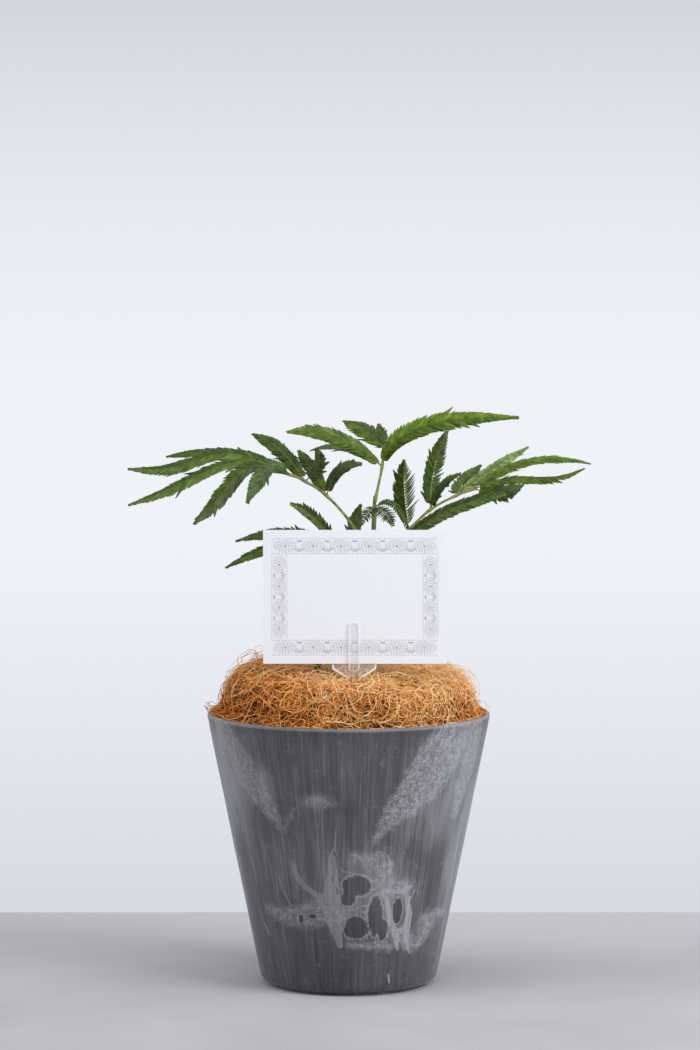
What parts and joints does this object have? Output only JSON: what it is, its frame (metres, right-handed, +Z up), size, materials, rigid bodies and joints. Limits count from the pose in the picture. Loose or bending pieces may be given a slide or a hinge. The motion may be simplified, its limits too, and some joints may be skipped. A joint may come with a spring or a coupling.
{
  "type": "potted everfresh tree",
  "caption": "Young everfresh tree with feathery leaves in a tapered stone-look planter under golden coir mulch, with a bare message card in a clear pick.",
  "frame": {"origin": "centre of the planter's underside, on the surface that it stands on", "axes": "+Z up along the planter's axis, +X to the right as seen from the front, -Y towards the front, where the card faces"},
  "size_m": [0.2782, 0.17, 0.3442],
  "materials": {
    "stone_resin": "matte dark grey stone-like resin with paler veins",
    "black_plastic": "matte black net",
    "pumice": "rough pumice gravel",
    "potting_soil": "dark crumbly soil",
    "coir": "tangled golden coconut fibre",
    "bark": "dull brown bark",
    "stalk_green": "satin green stem",
    "leaf_green": "satin green leaflets",
    "card_white": "matte white card with a pale grey ornamental border",
    "clear_plastic": "clear glossy plastic"
  },
  "bodies": {
    "root": {"pot": "stone_resin", "drain_net": "black_plastic", "drainage_gravel": "pumice", "potting_soil": "potting_soil", "coir_mulch": "coir", "trunk": "bark", "left_leaf_stalk": "stalk_green", "left_leaf_pinna_1": "leaf_green", "left_leaf_pinna_2": "leaf_green", "left_leaf_pinna_3": "leaf_green", "left_leaf_pinna_4": "leaf_green", "left_leaf_pinna_5": "leaf_green", "left_leaf_pinna_6": "leaf_green", "left_leaf_pinna_7": "leaf_green", "left_leaf_pinna_8": "leaf_green", "left_leaf_pinna_9": "leaf_green", "top_leaf_stalk": "stalk_green", "top_leaf_pinna_1": "leaf_green", "top_leaf_pinna_2": "leaf_green", "top_leaf_pinna_3": "leaf_green", "top_leaf_pinna_4": "leaf_green", "top_leaf_pinna_5": "leaf_green", "right_leaf_stalk": "stalk_green", "right_leaf_pinna_1": "leaf_green", "right_leaf_pinna_2": "leaf_green", "right_leaf_pinna_3": "leaf_green", "right_leaf_pinna_4": "leaf_green", "right_leaf_pinna_5": "leaf_green", "right_leaf_pinna_6": "leaf_green", "right_leaf_pinna_7": "leaf_green", "right_leaf_pinna_8": "leaf_green", "right_leaf_pinna_9": "leaf_green", "low_left_leaf_stalk": "stalk_green", "low_left_leaf_pinna_1": "leaf_green", "low_left_leaf_pinna_2": "leaf_green", "low_left_leaf_pinna_3": "leaf_green", "low_left_leaf_pinna_4": "leaf_green", "lowest_leaf_stalk": "stalk_green", "lowest_leaf_pinna_1": "leaf_green", "lowest_leaf_pinna_2": "leaf_green", "young_leaf_pinna_1": "leaf_green", "young_leaf_pinna_2": "leaf_green", "young_leaf_pinna_3": "leaf_green", "message_card": "card_white", "card_pick": "clear_plastic"}
  },
  "joints": []
}
